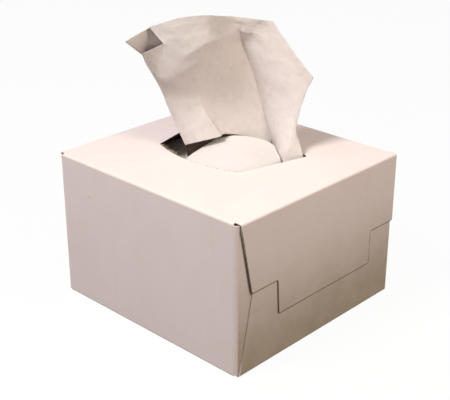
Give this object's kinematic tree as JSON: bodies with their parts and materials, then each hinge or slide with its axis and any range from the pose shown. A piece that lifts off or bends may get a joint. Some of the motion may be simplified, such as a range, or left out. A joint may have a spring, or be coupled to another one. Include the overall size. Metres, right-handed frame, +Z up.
{
  "type": "pack of lens cleaning tissues",
  "caption": "White paperboard pop-up carton of lens cleaning tissues with glued end flaps and a torn-out splayed mouth, a tissue standing up out of it ready to be pulled.",
  "frame": {"origin": "centre of the carton's footprint, on the surface it stands on", "axes": "+Z up, +X along the front panel towards the right end, +Y from the front panel to the back panel"},
  "size_m": [0.12, 0.112, 0.1386],
  "materials": {
    "board": "matte, uncoated white board",
    "stacked_tissue": "matte, stacked sheet edges",
    "tissue": "matte, thin creped sheet, slightly translucent"
  },
  "bodies": {
    "root": {"carton": "board", "tissue_stack": "stacked_tissue", "next_tissue": "tissue", "raised_tissue": "tissue"}
  },
  "joints": []
}
